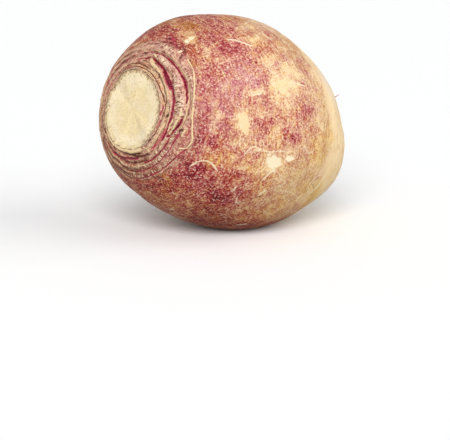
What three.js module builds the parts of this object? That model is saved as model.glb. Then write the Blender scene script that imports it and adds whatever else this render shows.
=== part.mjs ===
import * as THREE from "three";

// A swede-type turnip with its leaves and taproot trimmed off, lying on its side.
// The crown points to -X and is tipped up a little, the tail points to +X, and the origin
// is the middle of the small flat spot that the root rests on.
// Lengths are in millimetres and angles in degrees. Depths run along the root's own line
// from the cut face to the tail. Distances run over the skin from the rim of the cut face.
// Turns go round the root's own line, from straight up towards +Y.

// How the root lies: the tip-up of its crown, and where its own line passes the belly.
const crownTilt = 11.4;
const bellyDepth = 64;
const bellyPlace = { x: -3.6, y: 5.2, z: 55.5 };

// Half the root's outline, from the rim of the cut face to the end of the tail.
const skinOutline = [
  { depth: 0, radius: 20.9 },
  { depth: 3.5, radius: 28.7 },
  { depth: 9, radius: 37.3 },
  { depth: 18, radius: 46 },
  { depth: 34, radius: 53.5 },
  { depth: 58, radius: 58 },
  { depth: 84, radius: 54.5 },
  { depth: 106, radius: 44.5 },
  { depth: 121, radius: 32.6 },
  { depth: 130, radius: 20 },
  { depth: 136, radius: 13.5 },
  { depth: 143, radius: 10.5 },
];
const rootLength = skinOutline.at(-1).depth;

// The root isn't straight: its crown and tail stand off the belly's line.
const crownOffset = { side: 8, up: 0 };
const tailOffset = { side: -5, up: -9 };

// Nor is it round: its section is a slight oval with a hint of three corners.
const ovalShare = 0.048;
const ovalTurn = 52;
const cornerShare = 0.012;
const cornerTurn = 0;

// Swellings of the belly: how high, how many round the root, length of a wave, and phase.
const swellings = [
  { height: 0.5, count: 3, wave: 105, phase: 40 },
  { height: 0.35, count: 5, wave: -70, phase: 120 },
  { height: 0.3, count: 2, wave: 48, phase: 200 },
];
const swellingFade = 30;

// Leaf scars, which wrap the neck like shingles. Each runs from one turn over its crest to
// another, at those distances from the rim, with a groove that is deepest round its crest.
const leafScars = [
  { turns: [-55, 80, 235], distances: [2.6, 3.6, 2.6], groove: 0.7 },
  { turns: [160, 262, 372], distances: [2.4, 3.4, 2.6], groove: 0.8 },
  { turns: [120, 190, 250], distances: [5, 6.8, 5.2], groove: 1.3 },
  { turns: [232, 305, 392], distances: [5.4, 7.8, 5.2], groove: 1.5 },
  { turns: [-20, 55, 130], distances: [7, 9.6, 7.5], groove: 1.1 },
  { turns: [160, 236, 268], distances: [6.4, 8.6, 7.4], groove: 1.1 },
  { turns: [110, 180, 240], distances: [8, 10.8, 8.5], groove: 1.1 },
  { turns: [238, 290, 395], distances: [6, 14.9, 7.5], groove: 1.4 },
  { turns: [175, 228, 272], distances: [9.5, 12.4, 10], groove: 1 },
  { turns: [0, 70, 150], distances: [10.5, 13.8, 11], groove: 1.1 },
  { turns: [100, 170, 235], distances: [11.5, 14.4, 12], groove: 1 },
  { turns: [130, 195, 245], distances: [14, 17.6, 15.5], groove: 0.9 },
  { turns: [-10, 60, 140], distances: [14, 17.8, 14.5], groove: 1 },
  { turns: [205, 250, 292], distances: [15.6, 19.2, 17], groove: 0.8 },
  { turns: [275, 315, 400], distances: [16.2, 19.8, 15], groove: 0.8 },
  { turns: [20, 100, 170], distances: [17.5, 21, 17.5], groove: 0.9 },
];
const scarFade = 0.6;
const scarBend = 1.5;
const grooveWidth = 1.1;
const lipHeight = 1.1;
const lipRun = 2.4;
const lipTail = 4;

// The cut face: uneven at its rim and dished a little by the knife.
const rimWaves = [
  { height: 0.45, count: 3, phase: 70 },
  { height: 0.35, count: 5, phase: 10 },
  { height: 0.25, count: 9, phase: 150 },
];
const rimFade = 3;
const rimBevel = 0.5;
const faceDish = 0.6;
const faceShares = [0.95, 0.66, 0.33, 0];

// Two furrows low on opposite flanks, where the side roots grew, each with root scars.
const furrowTurns = [22, 198];
const furrowDepth = 1.7;
const furrowWidth = 5.5;
const furrowStart = 84;
const furrowRun = 26;
const rootScarPitch = 11;
const rootScarHeight = 1;

// The broken end of the taproot bulges a little.
const tailBulge = 1.2;
const tailShares = [0, 0.6];

// Fineness of the surface: the leaf scars' belt, the belly and the tail.
const columns = 94;
const scarBelt = { end: 27, rows: 29 };
const bellyBelt = { end: 146, rows: 20 };
const tailRows = 8;

const { degToRad, euclideanModulo, smoothstep } = THREE.MathUtils;

const skinCurve = new THREE.SplineCurve(
  skinOutline.map(({ depth, radius }) => new THREE.Vector2(depth, radius)),
);
skinCurve.arcLengthDivisions = 1000;
const skinLength = skinCurve.getLength();

// The signed angle from one turn to another, from -180 to 180.
function turnBetween(from, to) {
  return euclideanModulo(to - from + 180, 360) - 180;
}

// A shift of the root's own line: none at the belly and full at the crown or the tail.
function lineShift(depth, direction) {
  const towardsCrown = Math.max(0, 1 - depth / bellyDepth);
  const towardsTail = Math.max(0, (depth - bellyDepth) / (rootLength - bellyDepth));
  return crownOffset[direction] * towardsCrown ** 2 + tailOffset[direction] * towardsTail ** 2;
}

// How far the section stands out at a turn, as a share of its radius.
function sectionShare(turn, depth) {
  const oval = ovalShare * Math.cos(2 * degToRad(turn - ovalTurn));
  const corners = cornerShare * Math.cos(3 * degToRad(turn - cornerTurn));
  return 1 + (oval + corners) * Math.sin((Math.PI * depth) / rootLength);
}

// A shallow groove along each scar with a corky lip beyond it, both fading at its ends.
function leafScarRelief(turn, distance) {
  let relief = 0;
  for (const { turns, distances, groove } of leafScars) {
    const fromCrest = turnBetween(turns[1], turn);
    const end = fromCrest < 0 ? 0 : 2;
    const along = Math.abs(fromCrest / (turns[end] - turns[1]));
    const strength = 1 - smoothstep(along, scarFade, 1);
    const line = distances[1] + (distances[end] - distances[1]) * along ** scarBend;
    const beyond = distance - line;
    const lip = smoothstep(beyond, 0, lipRun) * Math.exp(-Math.max(0, beyond) / lipTail);
    relief += strength * groove * (lipHeight * lip - Math.exp(-((beyond / grooveWidth) ** 2)));
  }
  return relief;
}

function swellingRelief(turn, depth, distance) {
  let relief = 0;
  for (const { height, count, wave, phase } of swellings) {
    relief += height * Math.sin(degToRad(count * turn + (360 * depth) / wave + phase));
  }
  const fade = Math.min(1, distance / swellingFade, (skinLength - distance) / swellingFade);
  return relief * fade;
}

function furrowRelief(turn, depth, radius) {
  let relief = 0;
  const started = smoothstep(depth, furrowStart, furrowStart + furrowRun);
  for (const furrowTurn of furrowTurns) {
    const across = (degToRad(turnBetween(furrowTurn, turn)) * radius) / furrowWidth;
    const scars = rootScarHeight * Math.cos((2 * Math.PI * depth) / rootScarPitch);
    relief += started * (scars * Math.exp(-((2 * across) ** 2)) - furrowDepth * Math.exp(-(across ** 2)));
  }
  return relief;
}

function rimRelief(turn, distance) {
  let relief = 0;
  for (const { height, count, phase } of rimWaves) {
    relief += height * Math.sin(degToRad(count * turn + phase));
  }
  return relief * Math.exp(-distance / rimFade);
}

// One row of the root's surface: where its outline passes, and which way that faces.
// A face row has the rim's or the tail's reliefs, shrunk by its share of the radius.
function surfaceRow(distance, share = 1, sink = 0) {
  const place = skinCurve.getPointAt(distance / skinLength);
  const along = skinCurve.getTangentAt(distance / skinLength);
  const depth = place.x + sink;
  return { distance, share, depth, radius: place.y, outwards: along.x, downwards: -along.y };
}

function surfaceRows() {
  const skin = [];
  for (let row = 0; row <= scarBelt.rows; row += 1) {
    skin.push(surfaceRow((scarBelt.end * row) / scarBelt.rows));
  }
  for (let row = 1; row <= bellyBelt.rows; row += 1) {
    const run = bellyBelt.end - scarBelt.end;
    skin.push(surfaceRow(scarBelt.end + (run * row) / bellyBelt.rows));
  }
  for (let row = 1; row <= tailRows; row += 1) {
    skin.push(surfaceRow(bellyBelt.end + ((skinLength - bellyBelt.end) * row) / tailRows));
  }
  skin[0].depth += rimBevel;
  const tail = tailShares.map((share) => surfaceRow(skinLength, share, tailBulge * (1 - share)));
  const face = faceShares.map((share) => surfaceRow(0, share, faceDish * (1 - share ** 2)));
  return [...tail, ...skin.reverse(), ...face];
}

// The place of a row's point at a turn, in the root's own frame: side, height and up.
function surfacePoint(row, turn) {
  const { distance, depth, radius } = row;
  let relief = leafScarRelief(turn, distance) + rimRelief(turn, distance);
  relief += swellingRelief(turn, depth, distance) + furrowRelief(turn, depth, radius);
  const out = (radius * sectionShare(turn, depth) + relief * row.outwards) * row.share;
  const down = depth + relief * row.downwards * row.share;
  return new THREE.Vector3(
    out * Math.sin(degToRad(turn)) + lineShift(depth, "side"),
    -down,
    out * Math.cos(degToRad(turn)) + lineShift(depth, "up"),
  );
}

// Turns the root from standing on its tail to lying on its belly.
function layDown() {
  const tilt = degToRad(crownTilt);
  const side = new THREE.Vector3(0, 1, 0);
  const crownwards = new THREE.Vector3(-Math.cos(tilt), 0, Math.sin(tilt));
  const up = new THREE.Vector3(Math.sin(tilt), 0, Math.cos(tilt));
  const belly = new THREE.Vector3(bellyPlace.x, bellyPlace.y, bellyPlace.z);
  const lay = new THREE.Matrix4().makeBasis(side, crownwards, up).setPosition(belly);
  return lay.multiply(new THREE.Matrix4().makeTranslation(0, bellyDepth, 0));
}

function turnipGeometry() {
  const rows = surfaceRows();
  const profile = rows.map((row) => new THREE.Vector2(row.radius * row.share, -row.depth));
  const geometry = new THREE.LatheGeometry(profile, columns);
  const lay = layDown();
  const positions = geometry.attributes.position;
  for (let vertex = 0; vertex < positions.count; vertex += 1) {
    const turn = (360 * Math.floor(vertex / rows.length)) / columns;
    const point = surfacePoint(rows[vertex % rows.length], turn).applyMatrix4(lay);
    positions.setXYZ(vertex, point.x, point.y, Math.max(0, point.z));
  }
  geometry.computeVertexNormals();
  return geometry;
}

const skinMaterial = new THREE.MeshStandardMaterial({
  color: new THREE.Color(0.58, 0.33, 0.3),
  roughness: 0.62,
  metalness: 0,
});

const turnip = new THREE.Mesh(turnipGeometry(), skinMaterial);
turnip.name = "turnip";

const part = new THREE.Group();
part.add(turnip);

export default part;
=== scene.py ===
import bpy
import math
import numpy as np
from mathutils import Matrix, Vector


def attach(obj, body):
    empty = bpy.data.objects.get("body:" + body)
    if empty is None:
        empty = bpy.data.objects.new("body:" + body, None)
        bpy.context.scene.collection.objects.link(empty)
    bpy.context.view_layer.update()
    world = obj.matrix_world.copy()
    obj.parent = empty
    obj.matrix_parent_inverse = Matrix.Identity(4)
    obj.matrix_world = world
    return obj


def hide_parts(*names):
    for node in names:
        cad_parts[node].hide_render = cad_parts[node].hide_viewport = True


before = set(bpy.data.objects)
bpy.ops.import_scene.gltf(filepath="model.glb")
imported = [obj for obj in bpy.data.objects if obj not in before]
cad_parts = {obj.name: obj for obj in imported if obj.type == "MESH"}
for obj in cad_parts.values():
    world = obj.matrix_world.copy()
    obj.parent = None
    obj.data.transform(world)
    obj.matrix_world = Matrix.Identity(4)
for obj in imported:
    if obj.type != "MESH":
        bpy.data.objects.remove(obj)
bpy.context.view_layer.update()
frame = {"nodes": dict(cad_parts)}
print("frame loaded:", ", ".join(frame["nodes"]))

mm = 0.001


def addThing(name, data):
    thing = bpy.data.objects.new(name, data)
    bpy.context.scene.collection.objects.link(thing)
    return thing


# The root's own form. Lengths are in mm and angles in degrees. Depths run along the root's
# own line from the cut face, distances over the skin from the rim of the cut face, and
# turns round that line from straight up towards +Y.
rootForm = {
    "crownTilt": 11.4,
    "bellyDepth": 64,
    "bellyPlace": (-3.6, 5.2, 55.5),
    "outline": [  # depth, radius
        (0, 20.9), (3.5, 28.7), (9, 37.3), (18, 46), (34, 53.5), (58, 58),
        (84, 54.5), (106, 44.5), (121, 32.6), (130, 20), (136, 13.5), (143, 10.5),
    ],
    "crownOffset": (8, 0),  # side, up
    "tailOffset": (-5, -9),
    "ovalShare": 0.048,
    "ovalTurn": 52,
    "cornerShare": 0.012,
    "cornerTurn": 0,
    "swellings": [  # height, count, wave, phase
        (0.5, 3, 105, 40), (0.35, 5, -70, 120), (0.3, 2, 48, 200),
    ],
    "swellingFade": 30,
    "rimWaves": [(0.45, 3, 70), (0.35, 5, 10), (0.25, 9, 150)],  # height, count, phase
    "rimFade": 3,
    "faceDish": 0.6,
    "furrowTurns": (22, 198),
    "furrowDepth": 1.7,
    "furrowWidth": 5.5,
    "furrowStart": 84,
    "furrowRun": 26,
    "rootScarPitch": 11,
    "rootScarHeight": 1,
    "tailBulge": 1.2,
    "ringSize": 50,  # radius of the even tube on which noises that run round the root are drawn
    "columns": 364,
    "scarBelt": (27, 112),  # where each belt ends, and its rows
    "bellyBelt": (146, 112),
    "tailRows": 24,
    "faceRows": 15,
    "faceRowSpread": 1.6,
    "rimRow": 0.985,
    "tailFaceRows": 4,
    "paleRim": (160, 42, 62),  # where the face's rim stays pale: middle turn, and how far each way
}

# Leaf scars round the neck: turns and distances of start, crest and end, groove depth, and the
# share of that depth that the skin shows.
leafScars = {
    "scars": [
        ((-55, 80, 235), (2.6, 3.6, 2.6), 0.7, 0.6),
        ((160, 262, 372), (2.4, 3.4, 2.6), 0.8, 0.6),
        ((120, 190, 250), (5, 6.8, 5.2), 1.3, 0.5),
        ((232, 305, 392), (5.4, 7.8, 5.2), 1.5, 0.7),
        ((-20, 55, 130), (7, 9.6, 7.5), 1.1, 0.7),
        ((160, 236, 268), (6.4, 8.6, 7.4), 1.1, 0.55),
        ((110, 180, 240), (8, 10.8, 8.5), 1.1, 0.4),
        ((238, 290, 395), (6, 14.9, 7.5), 1.4, 0.7),
        ((175, 228, 272), (9.5, 12.4, 10), 1.0, 0.45),
        ((0, 70, 150), (10.5, 13.8, 11), 1.1, 0.6),
        ((100, 170, 235), (11.5, 14.4, 12), 1.0, 0.35),
        ((130, 195, 245), (14, 17.6, 15.5), 0.9, 0.3),
        ((-10, 60, 140), (14, 17.8, 14.5), 1.0, 0.5),
        ((205, 250, 292), (15.6, 19.2, 17), 0.8, 0.3),
        ((275, 315, 400), (16.2, 19.8, 15), 0.8, 0.4),
        ((20, 100, 170), (17.5, 21, 17.5), 0.9, 0.4),
    ],
    "fade": 0.6,
    "bend": 1.5,
    "grooveWidth": 1.1,
    "lipHeight": 1.1,
    "lipRun": 2.4,
    "lipTail": 4,
    "creaseDepth": 0.45,  # a fine crease at the bottom of each groove
    "creaseWidth": 0.42,
    "grooveLine": (0.35, 0.55, 2.5),  # width at least, width for each mm of depth, and how fast it ends
    "lipLine": (1.5, 0.55),  # how far past the groove, and how wide
    "neckEdge": (-0.6, 0.2),
    "leastStrength": 0.02,
    "wander": ((0.75, 9), (0.3, 2.6)),  # how far the lines stray, and over what lengths
}


def smoothStep(value, start, end):
    share = np.clip((value - start) / (end - start), 0, 1)
    return share * share * (3 - 2 * share)


def turnBetween(start, end):
    return (end - start + 180) % 360 - 180


# Smooth random bumps from -1 to 1 over points in space, alike on every run.
def softNoise(place, size, seed):
    cell = np.floor(place / size).astype(np.int64)
    part = place / size - cell
    ease = part * part * (3 - 2 * part)
    total = np.zeros(place.shape[:-1])
    for corner in range(8):
        step = np.array([(corner >> axis) & 1 for axis in range(3)])
        key = ((cell + step) * np.array([73856093, 19349663, 83492791])).sum(-1) + seed * 97531
        key = (key ^ (key >> 13)) * 1274126177
        value = ((key ^ (key >> 16)) & 0xFFFF) / 0xFFFF
        total += value * np.where(step, ease, 1 - ease).prod(-1)
    return total * 2 - 1


# The half outline as a smooth curve: distances over it, and depth and radius there.
def outlineCurve():
    points = np.array(rootForm["outline"], float)
    last = len(points) - 1
    along = np.linspace(0, last, 3001)
    first = np.minimum(along.astype(int), last - 1)
    share = (along - first)[:, None]
    before, start = points[np.maximum(first - 1, 0)], points[first]
    end, after = points[first + 1], points[np.minimum(first + 2, last)]
    leave, arrive = (end - before) / 2, (after - start) / 2
    curve = (2 * start - 2 * end + leave + arrive) * share ** 3
    curve += (3 * end - 3 * start - 2 * leave - arrive) * share ** 2 + leave * share + start
    distance = np.concatenate([[0], np.cumsum(np.hypot(*np.diff(curve, axis=0).T))])
    return distance, curve


outlineDistance, outlinePoints = outlineCurve()
outlineTangent = np.gradient(outlinePoints, outlineDistance, axis=0)
skinLength = outlineDistance[-1]
rootLength = rootForm["outline"][-1][0]


def outlineAt(distance):
    values = [outlinePoints[:, 0], outlinePoints[:, 1], outlineTangent[:, 0], -outlineTangent[:, 1]]
    return [np.interp(distance, outlineDistance, column) for column in values]


# What the leaf scars do at each point: relief, and how much of a groove, lip or neck it is.
def leafScarFields(turn, distance, wander):
    shape = np.broadcast(turn, distance).shape
    relief, groove, lip, neck = (np.zeros(shape) for _ in range(4))
    for turns, distances, depth, shown in leafScars["scars"]:
        fromCrest = turnBetween(turns[1], turn)
        toEnd = np.where(fromCrest < 0, turns[0] - turns[1], turns[2] - turns[1])
        endDistance = np.where(fromCrest < 0, distances[0], distances[2])
        along = np.abs(fromCrest / toEnd)
        strength = 1 - smoothStep(along, leafScars["fade"], 1)
        line = distances[1] + (endDistance - distances[1]) * along ** leafScars["bend"]
        beyond = distance - line + wander
        rise = smoothStep(beyond, 0, leafScars["lipRun"])
        rise = rise * np.exp(-np.maximum(0, beyond) / leafScars["lipTail"])
        trough = np.exp(-(beyond / leafScars["grooveWidth"]) ** 2)
        crease = np.exp(-(beyond / leafScars["creaseWidth"]) ** 2)
        relief += shown * strength * depth * (leafScars["lipHeight"] * rise - trough)
        relief -= shown * strength * leafScars["creaseDepth"] * crease
        least, spread, fall = leafScars["grooveLine"]
        width = least + spread * depth * strength
        groove = np.maximum(groove, strength * np.exp(-(np.abs(beyond) / width) ** fall) * min(1, depth))
        lipPlace, lipWidth = leafScars["lipLine"]
        lip = np.maximum(lip, strength * np.exp(-((beyond - lipPlace) / lipWidth) ** 2))
        inside = np.where(along < 1, smoothStep(-beyond, *leafScars["neckEdge"]), 0)
        neck = np.maximum(neck, inside * (strength > leafScars["leastStrength"]))
    return relief, groove, lip, neck


def waveSum(waves, turn, depth=0):
    total = 0
    for height, count, *wave, phase in waves:
        swing = count * turn + phase + (360 * depth / wave[0] if wave else 0)
        total = total + height * np.sin(np.radians(swing))
    return total


def furrowRelief(turn, depth, radius):
    started = smoothStep(depth, rootForm["furrowStart"], rootForm["furrowStart"] + rootForm["furrowRun"])
    relief = 0
    for furrowTurn in rootForm["furrowTurns"]:
        across = np.radians(turnBetween(furrowTurn, turn)) * radius / rootForm["furrowWidth"]
        scars = rootForm["rootScarHeight"] * np.cos(2 * np.pi * depth / rootForm["rootScarPitch"])
        relief = relief + started * scars * np.exp(-(2 * across) ** 2)
        relief = relief - started * rootForm["furrowDepth"] * np.exp(-across ** 2)
    return relief


def lineShift(depth, direction):
    crown = np.maximum(0, 1 - depth / rootForm["bellyDepth"]) ** 2
    tail = np.maximum(0, (depth - rootForm["bellyDepth"]) / (rootLength - rootForm["bellyDepth"])) ** 2
    return rootForm["crownOffset"][direction] * crown + rootForm["tailOffset"][direction] * tail


# From the root's own side, up and depth to its place as it lies, in mm.
def layDown(side, up, depth):
    tilt = math.radians(rootForm["crownTilt"])
    along = depth - rootForm["bellyDepth"]
    place = np.stack([
        along * math.cos(tilt) + up * math.sin(tilt),
        side,
        up * math.cos(tilt) - along * math.sin(tilt),
    ], -1)
    return place + np.array(rootForm["bellyPlace"])


def skinDistances():
    scarEnd, scarRows = rootForm["scarBelt"]
    bellyEnd, bellyRows = rootForm["bellyBelt"]
    return np.concatenate([
        np.linspace(0, scarEnd, scarRows, endpoint=False),
        np.linspace(scarEnd, bellyEnd, bellyRows, endpoint=False),
        np.linspace(bellyEnd, skinLength, rootForm["tailRows"]),
    ])


# Everything known about a set of rows: skin, or the flat faces drawn in towards the middle.
def surface(distance, turn, share=1.0, sink=0.0, extraRelief=0.0):
    depth, radius, outwards, downwards = (column[:, None] for column in outlineAt(distance))
    distance = distance[:, None]
    turn = turn[None, :]
    depth = depth + sink
    ringPlace = np.stack(np.broadcast_arrays(
        rootForm["ringSize"] * np.cos(np.radians(turn)), rootForm["ringSize"] * np.sin(np.radians(turn)),
        distance + 0 * turn), -1)
    wander = sum(far * softNoise(ringPlace, size, 3) for far, size in leafScars["wander"])
    relief, groove, lip, neck = leafScarFields(turn, distance, wander)
    relief = relief + waveSum(rootForm["rimWaves"], turn) * np.exp(-distance / rootForm["rimFade"])
    fade = np.clip(np.minimum(distance, skinLength - distance) / rootForm["swellingFade"], 0, 1)
    relief = relief + waveSum(rootForm["swellings"], turn, depth) * fade
    relief = relief + furrowRelief(turn, depth, radius) + extraRelief
    corners = rootForm["cornerShare"] * np.cos(3 * np.radians(turn - rootForm["cornerTurn"]))
    oval = rootForm["ovalShare"] * np.cos(2 * np.radians(turn - rootForm["ovalTurn"]))
    section = 1 + (oval + corners) * np.sin(np.pi * depth / rootLength)
    out = (radius * section + relief * outwards) * share
    down = depth + relief * downwards * share
    side = out * np.sin(np.radians(turn)) + lineShift(depth, 0)
    up = out * np.cos(np.radians(turn)) + lineShift(depth, 1)
    own = np.stack([side, up, down], -1)
    laid = layDown(side, up, down)
    laid[..., 2] = np.maximum(laid[..., 2], 0)
    fields = {"ringPlace": ringPlace, "groove": groove, "lip": lip, "neck": neck}
    fields["radius"] = radius + 0 * turn
    return laid, own, fields


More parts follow.
